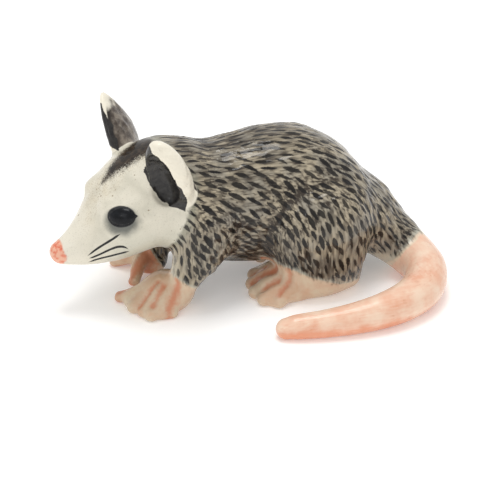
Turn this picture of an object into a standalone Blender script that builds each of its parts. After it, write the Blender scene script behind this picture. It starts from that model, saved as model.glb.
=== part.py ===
"""A hand-sized glazed porcelain figurine of a standing opossum, its tail curled to its left.

The figure is sculpted whole from simple forms, fused with soft fillets, and then parted with
thin curved cuts into the pieces that a person would name. The nose points to -X, the animal's
left side faces -Y, and the floor is at zero. The forms are made in millimetres, in the frame of
the sculpture, and the finished pieces stand in metres round the origin, +Z up.
"""

import math

import bmesh
import bpy
import numpy as np
import openvdb
from mathutils import Matrix, Vector

MM = 0.001

# The sculpting grid, the reach of its distances, and the width of the cuts between pieces
CELL = 0.3
REACH = 2.7
PARTING = 0.36
CLAY_LOW = (-33, -25, -2)
CLAY_HIGH = (28, 15, 31)

# A piece keeps this many triangles for each root of its own count, so small ones stay fine
FACE_SHARE = 5.0

# The middle of the whole outline, seen from above, which becomes the origin
MIDDLE = Vector((-2.001, -5.170, 0.0))

# The trunk's sections: x, sideways shift, underside, back and half width
TRUNK = (
    (-16.5, -0.6, 12.5, 18.0, 3.2),
    (-13.5, -0.5, 8.4, 21.0, 6.2),
    (-10.0, -0.4, 5.8, 21.6, 7.6),
    (-6.0, -0.2, 4.4, 21.4, 8.2),
    (-2.0, -0.1, 3.4, 21.9, 8.3),
    (2.0, 0.0, 3.0, 22.4, 8.6),
    (6.0, 0.0, 3.1, 22.2, 9.0),
    (10.0, 0.0, 3.2, 20.8, 9.0),
    (14.0, -0.3, 3.2, 17.9, 8.3),
    (17.5, -1.0, 3.0, 13.3, 6.9),
    (20.2, -2.2, 2.6, 9.2, 4.9),
    (22.2, -3.6, 2.6, 6.2, 2.4),
)

# The tail's middle line and its radius, from inside the rump to the tip
TAIL = (
    (16.5, -1.0, 8.5, 4.4),
    (19.6, -3.4, 5.1, 3.7),
    (22.2, -7.5, 3.1, 3.3),
    (22.4, -12.0, 2.9, 3.1),
    (20.3, -16.2, 2.7, 2.95),
    (16.3, -19.0, 2.5, 2.7),
    (11.0, -20.2, 2.15, 2.35),
    (5.5, -20.1, 1.8, 2.0),
    (1.0, -19.4, 1.55, 1.75),
    (-0.6, -19.1, 1.35, 1.5),
)

# The head has a frame of its own, with its origin in the nose and X running back from it
NOSE = Vector((-28.6, -2.4, 9.1))
HEAD_TURN = 7.0

# The head's sections: distance behind the nose, sideways shift, underside, top and half width
HEAD = (
    (-1.1, 0, -0.5, 0.5, 0.5),
    (-0.7, 0, -1.2, 1.1, 1.1),
    (0.2, 0, -1.8, 1.7, 1.5),
    (2.0, 0, -2.2, 3.1, 2.3),
    (4.0, 0, -2.4, 5.4, 3.6),
    (6.4, 0, -2.2, 8.8, 5.6),
    (9.0, 0, -1.8, 11.4, 6.9),
    (12.0, 0, -1.1, 13.1, 7.5),
    (14.5, 0, -0.4, 13.8, 7.5),
    (17.0, 0, 0.5, 13.6, 7.2),
    (19.5, 0, 2.6, 12.8, 6.4),
    (21.5, 0, 5.0, 11.0, 4.5),
)

# How far each kind of section swells past an ellipse, and how much wider it is below
TRUNK_FULLNESS, TRUNK_PEAR = 2.15, 0.07
HEAD_FULLNESS, HEAD_PEAR = 2.1, 0.05

# The left brow, in the head's frame: middle and radii of a soft bulge over the eye
BROW = ((7.4, -3.2, 7.3), (1.7, 1.25, 1.0))

# Each ear, in the head's frame: base, tip, the way its cup opens, half depth, half breadth, and
# how much it thins towards the tip
LEFT_EAR = ((16.0, -6.2, 7.4), (11.5, -9.0, 18.6), (-0.75, -0.6, 0.1), 2.1, 3.1, 0.08)
RIGHT_EAR = ((14.0, 6.9, 8.5), (10.8, 9.9, 18.1), (-0.75, 0.6, 0.1), 1.45, 3.7, 0.45)
EAR_WALL = 0.8
CUP_TO_CHEEK = 0.5

# The left eye, in the head's frame: a lens, sunk so that its dome stands a little proud
EYE = Vector((7.4, -5.6, 6.65))
EYE_FACES = Vector((-0.61, -0.71, 0.35))
EYE_LONG_WAY = Vector((0.79, -0.61, 0.16))
EYE_RADII = Vector((1.95, 1.35, 0.9))

EYE_SUNK = 0.45
EYE_GAP = 0.3

# The left legs. The right ones are their mirror image, moved along the body.
MIRROR_AT = -0.1
SHOULDER = ((-8.5, -4.2, 13.0), (5.2, 4.6, 6.6))
FORELEG = (
    (-8.8, -5.6, 13.0, 4.6),
    (-9.2, -6.8, 9.4, 3.9),
    (-10.9, -7.1, 6.2, 2.7),
    (-12.2, -6.8, 3.4, 2.0),
)
RIGHT_FORELEG_BACK = 0.8
HAUNCH = ((8.1, -6.0, 9.4), (8.2, 6.4, 7.8))

SHANK = ((8.0, -8.5, 4.3), (5.9, 3.7, 3.7))
HINDFOOT = (
    (12.0, -8.0, 1.8, 1.9),
    (8.5, -8.6, 2.0, 2.4),
    (4.5, -8.0, 2.0, 2.8),
)
HINDPAW = ((3.0, -6.6, 1.4), (4.2, 4.6, 2.5))
HINDTOE_ROOT = (4.0, -7.5)
HINDTOE_TIPS = ((-0.2, -2.6), (-1.2, -5.0), (-1.5, -7.4), (-0.9, -9.7), (1.0, -10.9))
RIGHT_SHANK_BACK = 1.0
RIGHT_HINDPAW_BACK = 2.5

# Each forepaw, which differ in their pose: the palm's middle and radii, the toes' root and
# tips, and the ends of the webs between them
LEFT_FOREPAW = (
    ((-13.8, -5.4, 2.0), (3.7, 3.7, 3.0)),
    (-13.0, -6.2),
    ((-15.6, -0.9), (-20.0, -2.8), (-19.0, -6.3), (-17.2, -9.2), (-14.2, -9.2)),
    ((-17.9, -1.9), (-19.4, -4.6), (-18.2, -7.9), (-15.7, -9.3)),
)
RIGHT_FOREPAW = (
    ((-13.6, 5.4, 1.4), (2.6, 2.8, 2.0)),
    (-13.8, 5.0),
    ((-17.0, 1.2), (-18.2, 7.4), (-17.0, 9.2), (-15.0, 9.9), (-12.6, 9.8)),
    ((-17.6, 8.3), (-16.0, 9.5), (-13.7, 9.7)),
)


# A toe's joints: the share of the way from its root to its tip, height and radius. A web fills
# the space between two toes.
FORETOE = ((0.0, 3.4, 1.3), (0.5, 2.2, 1.25), (1.0, 0.8, 0.95))
FOREWEB = ((0.0, 3.3, 1.3), (0.5, 1.95, 1.2), (0.94, 0.7, 0.9))

HINDTOE = ((0.0, 2.2, 1.3), (0.5, 1.75, 1.25), (1.0, 0.85, 1.0))
HINDWEB = ((0.0, 2.2, 1.3), (0.5, 1.6, 1.15), (0.93, 0.7, 0.9))

# How softly each form runs into the rest
TAIL_FILLET = 2.6
HEAD_FILLET = 2.4
BROW_FILLET = 1.5
EAR_FILLET = 1.1
EAR_RIM_FILLET = 0.3
SHOULDER_FILLET = 2.4
FORELEG_FILLET = 1.6
FOREPAW_FILLET = 1.2
FORETOE_FILLET = 0.9
HAUNCH_FILLET = 1.0
SHANK_FILLET = 2.0
HINDFOOT_FILLET = 1.4
HINDPAW_FILLET = 0.8
HINDTOE_FILLET = 0.5

# The blocks and eggs that part one piece from the next. Those on a leg are for the left one.
HEAD_PART = ((-40.0, -20.0, 4.2), (-13.8, 20.0, 40.0))
HEAD_PART_LEAN = 9.0
NECK_PART = ((-40.0, -20.0, 6.0), (-10.6, 20.0, 40.0))
NECK_PART_LEAN = 20.0
LEAN_PIVOT_HEIGHT = 14.0
NOSE_PART = ((-0.9, 0.0, 0.0), (2.1, 2.4, 2.4))
EAR_PART_SHIFT = (0.9, 0.0, 1.2)
EAR_PART_MARGINS = (1.4, 1.3, 1.2)
FOREPAW_PART = ((-24.0, -14.0, -3.0), (-9.0, MIRROR_AT, 5.4))

FORELEG_PART = ((-10.2, -9.0, 7.6), (6.2, 5.6, 6.8))
HINDPAW_PART = ((-5.0, -15.0, -3.0), (16.6, -1.0, 2.5))
HINDLEG_PART = ((8.5, -10.5, 8.5), (8.8, 7.0, 10.0))
TAIL_ROOT_PART = ((22.6, -7.2, 3.0), (5.6, 5.6, 8.0))
TAIL_BEND_PART = ((20.9, -16.6, 2.6), (6.3, 6.3, 8.0))
TAIL_TIP_PART = ((-8.0, -26.0, -3.0), (6.2, -15.0, 8.0))
TAIL_MIDDLE_PART = ((6.2, -26.0, -3.0), (20.0, -15.0, 8.0))

# Each finish's colour and roughness, under the start of the names of the pieces that have it
FINISHES = {
    "head": ((0.80, 0.76, 0.66), 0.25),
    "nose": ((0.85, 0.35, 0.25), 0.25),
    "eye": ((0.01, 0.01, 0.012), 0.08),
    "ear": ((0.06, 0.055, 0.055), 0.3),
    "forefoot": ((0.85, 0.52, 0.38), 0.25),
    "hindfoot": ((0.85, 0.52, 0.38), 0.25),
    "tail": ((0.85, 0.52, 0.38), 0.25),
    "": ((0.36, 0.33, 0.29), 0.3),
}


def smooth_rows(stations, steps=5):
    """The stations, with more rows between each two, on a Catmull-Rom curve."""
    rows = np.array(stations, float)
    ends = np.vstack((2 * rows[0] - rows[1], rows, 2 * rows[-1] - rows[-2]))
    found = []
    for before, start, end, after in zip(ends, ends[1:], ends[2:], ends[3:]):
        for step in range(steps):
            t = step / steps
            bend = (2 * before - 5 * start + 4 * end - after) * t**2
            twist = (3 * start - before - 3 * end + after) * t**3
            found.append(start + 0.5 * ((end - before) * t + bend + twist))
    found.append(rows[-1])
    return found


def loft(stations, fullness, pear, segments=40):
    """A closed mesh through upright sections."""
    mesh = bmesh.new()
    rings = []
    for x, shift, low, high, half in smooth_rows(stations):
        ring = []
        for number in range(segments):
            angle = 2 * math.pi * number / segments
            across = math.copysign(abs(math.cos(angle)) ** (2 / fullness), math.cos(angle))
            up = math.copysign(abs(math.sin(angle)) ** (2 / fullness), math.sin(angle))
            y = shift + half * across * (1 - pear * up)
            z = (high + low + (high - low) * up) / 2
            ring.append(mesh.verts.new((x, y, z)))
        rings.append(ring)
    for ring, following in zip(rings, rings[1:]):
        for number in range(segments):
            after = (number + 1) % segments
            mesh.faces.new((ring[number], ring[after], following[after], following[number]))
    mesh.faces.new(rings[0])
    mesh.faces.new(rings[-1])
    bmesh.ops.recalc_face_normals(mesh, faces=mesh.faces)
    return mesh


def egg(centre, radii, taper=0.0):
    """A sphere scaled to three radii, and thinned towards its top by the taper."""
    mesh = bmesh.new()
    bmesh.ops.create_uvsphere(mesh, u_segments=32, v_segments=20, radius=1.0)
    for vert in mesh.verts:
        thin = 1 - taper * vert.co.z
        vert.co.x *= radii[0] * thin
        vert.co.y *= radii[1] * thin
        vert.co.z *= radii[2]
    mesh.transform(Matrix.Translation(centre))
    return mesh


def block(low, high):
    mesh = bmesh.new()
    bmesh.ops.create_cube(mesh, size=1.0)
    size = Vector(high) - Vector(low)
    middle = (Vector(high) + Vector(low)) / 2
    mesh.transform(Matrix.Translation(middle) @ Matrix.Diagonal((*size, 1.0)))
    return mesh


def leaning_block(corners, lean):
    """A block whose far end leans back, about its own edge at the pivot's height."""
    mesh = block(*corners)
    pivot = Vector((corners[1][0], 0, LEAN_PIVOT_HEIGHT))
    turn = Matrix.Rotation(math.radians(lean), 4, "Y")
    mesh.transform(Matrix.Translation(pivot) @ turn @ Matrix.Translation(-pivot))
    return mesh


def tube(route):
    """A round tube along a smooth route of x, y, z and radius rows, with round ends."""
    rows = smooth_rows(route)
    curve = bpy.data.curves.new("route", "CURVE")
    curve.dimensions = "3D"
    curve.bevel_depth = 1.0
    curve.bevel_resolution = 6
    curve.use_fill_caps = True
    spline = curve.splines.new("POLY")
    spline.points.add(len(rows) - 1)
    for point, row in zip(spline.points, rows):
        point.co = (*row[:3], 1.0)
        point.radius = row[3]
    guide = bpy.data.objects.new("route", curve)
    bpy.context.scene.collection.objects.link(guide)
    graph = bpy.context.evaluated_depsgraph_get()
    mesh = bmesh.new()
    mesh.from_mesh(guide.evaluated_get(graph).to_mesh())
    bpy.data.objects.remove(guide)
    bpy.data.curves.remove(curve)
    bmesh.ops.remove_doubles(mesh, verts=mesh.verts, dist=0.001)
    for row in (rows[0], rows[-1]):
        end = Matrix.Translation(row[:3])
        bmesh.ops.create_uvsphere(mesh, u_segments=20, v_segments=12, radius=row[3], matrix=end)
    bmesh.ops.recalc_face_normals(mesh, faces=mesh.faces)
    return mesh


def mirrored(mesh, back=0.0):
    """The mesh's mirror image on the animal's right side, moved back along the body."""
    copy = mesh.copy()
    flip = Matrix.Diagonal((1, -1, 1, 1))
    copy.transform(Matrix.Translation((back, 2 * MIRROR_AT, 0)) @ flip)
    bmesh.ops.reverse_faces(copy, faces=copy.faces)
    return copy


def on_head(mesh):
    """Moves the mesh from the head's frame to the sculpture's."""
    turn = Matrix.Rotation(math.radians(HEAD_TURN), 4, "Z")
    mesh.transform(Matrix.Translation(NOSE) @ turn)
    return mesh


def soft_minimum(first, second, fillet):
    """The nearer of two distances, rounded over where they differ by less than the fillet."""
    if fillet == 0:
        return np.minimum(first, second)
    mix = np.maximum(fillet - np.abs(first - second), 0) / fillet
    return np.minimum(first, second) - mix * mix * fillet / 4


class Clay:
    """The distance of each cell of a grid to the surface, less than zero inside."""

    def __init__(self):
        self.start = np.floor(np.array(CLAY_LOW) / CELL).astype(int)
        shape = np.ceil(np.array(CLAY_HIGH) / CELL).astype(int) - self.start
        self.cells = np.full(shape, REACH, np.float32)

    def distances(self, mesh):
        """The slices of the grid that are near the mesh, and the distances to it there."""
        bmesh.ops.triangulate(mesh, faces=mesh.faces)
        mesh.verts.index_update()
        points = np.array([vert.co for vert in mesh.verts], np.float32)
        corners = [[vert.index for vert in face.verts] for face in mesh.faces]
        grid = openvdb.FloatGrid.createLevelSetFromPolygons(
            points,
            triangles=np.array(corners, np.uint32),
            transform=openvdb.createLinearTransform(voxelSize=CELL),
            halfWidth=REACH / CELL,
        )
        margin = math.ceil(REACH / CELL)
        low = np.floor(points.min(axis=0) / CELL).astype(int) - margin
        high = np.ceil(points.max(axis=0) / CELL).astype(int) + margin
        low = np.maximum(low, self.start)
        high = np.minimum(high, self.start + self.cells.shape)
        near = np.empty(high - low, np.float32)
        grid.copyToArray(near, ijk=low.tolist())
        window = tuple(slice(a, b) for a, b in zip(low - self.start, high - self.start))
        return window, near

    def fuse(self, mesh, fillet=0.0):
        window, near = self.distances(mesh)
        self.cells[window] = soft_minimum(self.cells[window], near, fillet)

    def carve(self, mesh, fillet=0.0):
        window, near = self.distances(mesh)
        self.cells[window] = -soft_minimum(-self.cells[window], near, fillet)

    def part_off(self, mesh):
        """Takes what lies inside the mesh away, as clay of its own, and leaves a thin cut."""
        window, near = self.distances(mesh)
        piece = Clay()
        piece.cells[window] = np.maximum(self.cells[window], near + PARTING / 2)
        self.cells[window] = np.maximum(self.cells[window], PARTING / 2 - near)
        return piece

    def surface(self):
        """The points and the four-sided faces of the surface, in metres round the origin."""
        grid = openvdb.FloatGrid(REACH)
        grid.copyFromArray(self.cells)
        points, _, faces = grid.convertToPolygons(0.0, 0.0)
        return ((points + self.start) * CELL - np.array(MIDDLE)) * MM, faces


def fuse_pair(clay, mesh, fillet, back=0.0):
    """Fuses a form of the left side, and its mirror image, which is moved back."""
    clay.fuse(mirrored(mesh, back), fillet)
    clay.fuse(mesh, fillet)


def toe(root, tip, joints):
    route = []
    for share, height, radius in joints:
        x, y = Vector(root).lerp(Vector(tip), share)
        route.append((x, y, height, radius))
    return tube(route)


def between(tips):
    """The points halfway between each two neighbouring tips."""
    return [tuple(Vector(tip).lerp(Vector(after), 0.5)) for tip, after in zip(tips, tips[1:])]


def sculpt_trunk_and_tail(clay):
    clay.fuse(loft(TRUNK, TRUNK_FULLNESS, TRUNK_PEAR))
    clay.fuse(tube(TAIL), TAIL_FILLET)


def sculpt_forepaw(clay, palm, root, tips, webs):
    clay.fuse(egg(*palm), FOREPAW_FILLET)
    for ends, joints in ((tips, FORETOE), (webs, FOREWEB)):
        for end in ends:
            clay.fuse(toe(root, end, joints), FORETOE_FILLET)


def sculpt_forelegs(clay):
    fuse_pair(clay, egg(*SHOULDER), SHOULDER_FILLET)
    fuse_pair(clay, tube(FORELEG), FORELEG_FILLET, RIGHT_FORELEG_BACK)
    for paw in (LEFT_FOREPAW, RIGHT_FOREPAW):
        sculpt_forepaw(clay, *paw)


def sculpt_hindlegs(clay):
    fuse_pair(clay, egg(*HAUNCH), HAUNCH_FILLET)
    fuse_pair(clay, egg(*SHANK), SHANK_FILLET, RIGHT_SHANK_BACK)
    fuse_pair(clay, tube(HINDFOOT), HINDFOOT_FILLET, RIGHT_HINDPAW_BACK)
    fuse_pair(clay, egg(*HINDPAW), HINDPAW_FILLET, RIGHT_HINDPAW_BACK)
    for tips, joints in ((HINDTOE_TIPS, HINDTOE), (between(HINDTOE_TIPS), HINDWEB)):
        for tip in tips:
            root = (HINDTOE_ROOT[0], (HINDTOE_ROOT[1] + tip[1]) / 2)
            fuse_pair(clay, toe(root, tip, joints), HINDTOE_FILLET, RIGHT_HINDPAW_BACK)


def ear_place(ear):
    """The ear's frame, with X out of the cup and Z to the tip, and its half length."""
    base, tip, opening = (Vector(corner) for corner in ear[:3])
    up = (tip - base).normalized()
    out = (opening - up * opening.dot(up)).normalized()
    turn = Matrix((out, up.cross(out), up)).transposed().to_4x4()
    return Matrix.Translation((base + tip) / 2) @ turn, (tip - base).length / 2


def sculpt_ear(clay, ear):
    place, length = ear_place(ear)
    depth, breadth, taper = ear[3:]
    shell = egg((0, 0, 0), (depth, breadth, length), taper)
    hollow = (0.95 * depth, breadth - EAR_WALL, length - 1.5 * EAR_WALL)
    to_cheek = math.copysign(CUP_TO_CHEEK, ear[0][1])
    cup = egg((0.8 * depth, to_cheek, 0.2), hollow, taper)
    for mesh in (shell, cup):
        mesh.transform(place)
    clay.fuse(on_head(shell), EAR_FILLET)
    clay.carve(on_head(cup), EAR_RIM_FILLET)


def eye_lens(side, grown=0.0):
    """The lens of one eye, or, grown by a gap, the socket it sits in."""
    long_way = EYE_LONG_WAY.normalized()
    out = (EYE_FACES - long_way * EYE_FACES.dot(long_way)).normalized()
    turn = Matrix((long_way, out.cross(long_way), out)).transposed().to_4x4()
    mesh = egg((0, 0, 0), EYE_RADII + Vector((grown, grown, grown)))
    mesh.transform(Matrix.Translation(EYE - out * EYE_SUNK) @ turn)
    if side == "right":
        mesh.transform(Matrix.Diagonal((1, -1, 1, 1)))
        bmesh.ops.reverse_faces(mesh, faces=mesh.faces)
    return on_head(mesh)


def sculpt_head(clay):
    clay.fuse(on_head(loft(HEAD, HEAD_FULLNESS, HEAD_PEAR)), HEAD_FILLET)
    for side in (-1, 1):
        (x, y, z), radii = BROW
        clay.fuse(on_head(egg((x, -side * y, z), radii)), BROW_FILLET)

    for ear in (LEFT_EAR, RIGHT_EAR):
        sculpt_ear(clay, ear)
    for side in ("left", "right"):
        clay.carve(eye_lens(side, EYE_GAP))


def sculpt():
    clay = Clay()
    sculpt_trunk_and_tail(clay)
    sculpt_forelegs(clay)
    sculpt_hindlegs(clay)
    sculpt_head(clay)
    return clay


def ear_part(ear):
    """An egg round the whole ear, which parts it from the head at its base."""
    place, length = ear_place(ear)
    radii = Vector((ear[3], ear[4], length)) + Vector(EAR_PART_MARGINS)
    mesh = egg(EAR_PART_SHIFT, radii)
    mesh.transform(place)
    return on_head(mesh)


def part_head(clay):
    return {
        "ear_left": clay.part_off(ear_part(LEFT_EAR)),
        "ear_right": clay.part_off(ear_part(RIGHT_EAR)),
        "nose": clay.part_off(on_head(egg(*NOSE_PART))),
        "head": clay.part_off(leaning_block(HEAD_PART, HEAD_PART_LEAN)),
    }


def part_limbs(clay):
    pieces = {}
    for name, mesh in (
        ("forefoot", block(*FOREPAW_PART)),
        ("foreleg", egg(*FORELEG_PART)),
        ("hindfoot", block(*HINDPAW_PART)),
        ("hindleg", egg(*HINDLEG_PART)),
    ):
        pieces[name + "_right"] = clay.part_off(mirrored(mesh))
        pieces[name + "_left"] = clay.part_off(mesh)
    return pieces


def part_tail(clay):
    return {
        "tail_root": clay.part_off(egg(*TAIL_ROOT_PART)),
        "tail_bend": clay.part_off(egg(*TAIL_BEND_PART)),
        "tail_tip": clay.part_off(block(*TAIL_TIP_PART)),
        "tail_middle": clay.part_off(block(*TAIL_MIDDLE_PART)),
    }


def part(clay):
    """The sculpture's pieces, by name. What is left when all others are off is the trunk."""
    pieces = part_head(clay)
    pieces |= part_limbs(clay)
    pieces |= part_tail(clay)
    pieces["neck"] = clay.part_off(leaning_block(NECK_PART, NECK_PART_LEAN))
    pieces["trunk"] = clay
    for side in ("left", "right"):
        lens = Clay()
        lens.fuse(eye_lens(side))
        pieces["eye_" + side] = lens
    return pieces


def glaze(name):
    """A material of the finish whose key the piece's name starts with."""
    colour, roughness = next(
        finish for start, finish in FINISHES.items() if name.startswith(start)
    )
    material = bpy.data.materials.new(name + "_glaze")
    material.use_nodes = True
    shader = material.node_tree.nodes["Principled BSDF"]
    shader.inputs["Base Color"].default_value = (*colour, 1.0)
    shader.inputs["Roughness"].default_value = roughness
    shader.inputs["Metallic"].default_value = 0.0
    return material


def place_piece(name, clay, parent, collection):
    """An object of the clay's surface, with its origin in the middle of its box."""
    points, faces = clay.surface()
    middle = (points.min(axis=0) + points.max(axis=0)) / 2
    mesh = bpy.data.meshes.new(name)
    mesh.from_pydata((points - middle).tolist(), [], faces.tolist())
    mesh.shade_smooth()
    mesh.materials.append(glaze(name))
    piece = bpy.data.objects.new(name, mesh)
    piece.location = middle
    piece.parent = parent
    collection.objects.link(piece)
    return piece


def thin_out(piece):
    triangles = 2 * len(piece.data.polygons)
    thinned = piece.modifiers.new("Fewer faces", "DECIMATE")
    thinned.ratio = FACE_SHARE * math.sqrt(triangles) / triangles


def stand_flat(piece, floor):
    """Cuts the piece off level with the floor, if it reaches below."""
    lowest = min(vert.co.z for vert in piece.data.vertices) + piece.location.z
    if lowest < 0:
        cut = piece.modifiers.new("Flat sole", "BOOLEAN")
        cut.operation = "DIFFERENCE"
        cut.object = floor


def floor_cutter(collection):
    mesh = bpy.data.meshes.new("floor_cutter")
    slab = block((-40, -40, -6), (40, 40, 0))
    slab.transform(Matrix.Scale(MM, 4))
    slab.to_mesh(mesh)
    floor = bpy.data.objects.new("floor_cutter", mesh)
    floor.hide_render = True
    floor.display_type = "WIRE"
    collection.objects.link(floor)
    return floor


def new_collection(name):
    made = bpy.data.collections.new(name)
    bpy.context.scene.collection.children.link(made)
    return made


def main():
    for old in list(bpy.data.objects):
        bpy.data.objects.remove(old)
    figurine = new_collection("opossum_figurine")
    floor = floor_cutter(new_collection("cutters"))
    root = bpy.data.objects.new("figurine", None)
    figurine.objects.link(root)
    for name, clay in part(sculpt()).items():
        piece = place_piece(name, clay, root, figurine)
        thin_out(piece)
        stand_flat(piece, floor)


main()
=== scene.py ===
"""The finished look of the porcelain opossum: one glazed, painted skin, two eyes and a studio.

The sculpture is made again on a finer grid, in its own frame and in millimetres, and the brush
strokes are laid on its surface as fields of distances, which the glaze's material then paints.
"""

import itertools
import math

import bmesh
import bpy
import numpy as np
import openvdb
from mathutils import Matrix, Vector
from mathutils.kdtree import KDTree


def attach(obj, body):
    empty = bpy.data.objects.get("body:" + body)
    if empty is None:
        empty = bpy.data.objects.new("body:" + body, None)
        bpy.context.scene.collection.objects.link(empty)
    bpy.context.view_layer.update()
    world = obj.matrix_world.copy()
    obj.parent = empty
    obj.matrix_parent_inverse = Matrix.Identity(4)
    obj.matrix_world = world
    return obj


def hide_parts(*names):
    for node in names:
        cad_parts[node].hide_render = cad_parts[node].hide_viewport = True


MM = 0.001
SEED = 7

# The sculpting grid, and the reach of its distances
CELL = 0.214
REACH = 2.7
CLAY_LOW = (-33, -25, -2)
CLAY_HIGH = (28, 15, 31)

# The middle of the whole outline, seen from above, which is the origin of the finished scene
MIDDLE = Vector((-2.001, -5.170, 0.0))

# The trunk's sections: x, sideways shift, underside, back and half width
TRUNK = (
    (-16.5, -0.6, 12.5, 18, 3.2),
    (-13.5, -0.5, 8.4, 21, 6.2),
    (-10, -0.4, 5.8, 21.6, 7.6),
    (-6, -0.2, 4.4, 21.4, 8.2),
    (-2, -0.1, 3.4, 21.9, 8.3),
    (2, 0, 3, 22.4, 8.6),
    (6, 0, 3.1, 22.2, 9),
    (10, 0, 3.2, 20.8, 9),
    (14, -0.3, 3.2, 17.9, 8.3),
    (17.5, -1, 3, 13.3, 6.9),
    (20.2, -2.2, 2.6, 9.2, 4.9),
    (22.2, -3.6, 2.6, 6.2, 2.4),
)

# The tail's middle line and its radius, from inside the rump to the tip
TAIL = (
    (16.5, -1, 8.5, 4.4),
    (19.6, -3.4, 5.1, 3.7),
    (22.2, -7.5, 3.1, 3.3),
    (22.4, -12, 2.9, 3.1),
    (20.3, -16.2, 2.7, 2.95),
    (16.3, -19, 2.5, 2.7),
    (11, -20.2, 2.15, 2.35),
    (5.5, -20.1, 1.8, 2),
    (1, -19.4, 1.55, 1.75),
    (-0.6, -19.1, 1.35, 1.5),
)

# The head has a frame of its own, with its origin in the nose and X running back from it
NOSE = Vector((-28.6, -2.4, 9.1))
HEAD_TURN = 7.0

# The head's sections: distance behind the nose, sideways shift, underside, top and half width
HEAD = (
    (-1.1, 0, -0.5, 0.5, 0.5),
    (-0.7, 0, -1.2, 1.1, 1.1),
    (0.2, 0, -1.8, 1.7, 1.5),
    (2, 0, -2.2, 3.1, 2.3),
    (4, 0, -2.4, 5.4, 3.6),
    (6.4, 0, -2.2, 8.8, 5.6),
    (9, 0, -1.8, 11.4, 6.9),
    (12, 0, -1.1, 13.1, 7.5),
    (14.5, 0, -0.4, 13.8, 7.5),
    (17, 0, 0.5, 13.6, 7.2),
    (19.5, 0, 2.6, 12.8, 6.4),
    (21.5, 0, 5, 11, 4.5),
)

# How far each kind of section swells past an ellipse, and how much wider it is below
TRUNK_FULLNESS, TRUNK_PEAR = 2.15, 0.07
HEAD_FULLNESS, HEAD_PEAR = 2.1, 0.05

# The left brow, in the head's frame: middle and radii of a soft bulge over the eye
BROW = ((7.4, -3.2, 7.3), (1.7, 1.25, 1.0))

# Each ear, in the head's frame: base, tip, the way its cup opens, half depth, half breadth, and
# how much it thins towards the tip
LEFT_EAR = ((16.0, -6.2, 7.4), (11.5, -9.0, 18.6), (-0.75, -0.6, 0.1), 2.1, 3.1, 0.08)
RIGHT_EAR = ((14.0, 6.9, 8.5), (10.8, 9.9, 18.1), (-0.75, 0.6, 0.1), 1.45, 3.7, 0.45)

# The hollow of an ear: the wall round it, its depth and way out as shares of the ear's depth, and
# how far it is moved to the cheek and up
EAR_WALL = 0.8
CUP_DEPTH = 0.95
CUP_OUT = 0.8
CUP_TO_CHEEK = 0.5
CUP_UP = 0.2

# The left eye, in the head's frame: a lens, sunk so that its dome stands a little proud
EYE = Vector((7.4, -5.6, 6.65))
EYE_FACES = Vector((-0.61, -0.71, 0.35))
EYE_LONG_WAY = Vector((0.79, -0.61, 0.16))
EYE_RADII = Vector((1.95, 1.35, 0.9))
EYE_SUNK = 0.45

# The painted rim round the lens: the way across its long way, and how much the square of each
# distance from its middle counts
EYE_UP_WAY = Vector((0.1, 0.374, 0.933))
EYE_RIM = (0.205, 0.37)

# The left legs. The right ones are their mirror image, moved along the body.
MIRROR_AT = -0.1
SHOULDER = ((-8.5, -4.2, 13.0), (5.2, 4.6, 6.6))
FORELEG = (
    (-8.8, -5.6, 13, 4.6),
    (-9.2, -6.8, 9.4, 3.9),
    (-10.9, -7.1, 6.2, 2.7),
    (-12.2, -6.8, 3.4, 2),
)
RIGHT_FORELEG_BACK = 0.8
HAUNCH = ((8.1, -6.0, 9.4), (8.2, 6.4, 7.8))
SHANK = ((8.0, -8.5, 4.3), (5.9, 3.7, 3.7))
HINDFOOT = (
    (12, -8, 1.8, 1.9),
    (8.5, -8.6, 2, 2.4),
    (4.5, -8, 2, 2.8),
)
HINDPAW = ((3.0, -6.6, 1.4), (4.2, 4.6, 2.5))
HINDTOE_ROOT = (4.0, -7.5)
HINDTOE_TIPS = ((-0.2, -2.6), (-1.2, -5.0), (-1.5, -7.4), (-0.9, -9.7), (1.0, -10.9))
RIGHT_SHANK_BACK = 1.0
RIGHT_HINDPAW_BACK = 2.5

# Each forepaw, which differ in their pose: the palm's middle and radii, the toes' root and
# tips, and the ends of the webs between them
LEFT_FOREPAW = (
    ((-13.8, -5.4, 2), (3.7, 3.7, 3)),
    (-13, -6.2),
    ((-15.6, -0.9), (-20, -2.8), (-19, -6.3), (-17.2, -9.2), (-14.2, -9.2)),
    ((-17.9, -1.9), (-19.4, -4.6), (-18.2, -7.9), (-15.7, -9.3)),
)
RIGHT_FOREPAW = (
    ((-13.6, 5.4, 1.4), (2.6, 2.8, 2)),
    (-13.8, 5),
    ((-17, 1.2), (-18.2, 7.4), (-17, 9.2), (-15, 9.9), (-12.6, 9.8)),
    ((-17.6, 8.3), (-16, 9.5), (-13.7, 9.7)),
)

# A toe's joints: the share of the way from its root to its tip, height and radius. A web fills
# the space between two toes.
FORETOE = ((0.0, 3.4, 1.3), (0.5, 2.2, 1.25), (1.0, 0.8, 0.95))
FOREWEB = ((0.0, 3.3, 1.3), (0.5, 1.95, 1.2), (0.94, 0.7, 0.9))
HINDTOE = ((0.0, 2.2, 1.3), (0.5, 1.75, 1.25), (1.0, 0.85, 1.0))
HINDWEB = ((0.0, 2.2, 1.3), (0.5, 1.6, 1.15), (0.93, 0.7, 0.9))

# How softly each form runs into the rest
TAIL_FILLET = 2.6
HEAD_FILLET = 2.4
BROW_FILLET = 1.5
EAR_FILLET = 1.1
EAR_RIM_FILLET = 0.3
SHOULDER_FILLET = 2.4
FORELEG_FILLET = 1.6
FOREPAW_FILLET = 1.2
FORETOE_FILLET = 0.9
HAUNCH_FILLET = 1.0
SHANK_FILLET = 2.0
HINDFOOT_FILLET = 1.4
HINDPAW_FILLET = 0.8
HINDTOE_FILLET = 0.5

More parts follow.
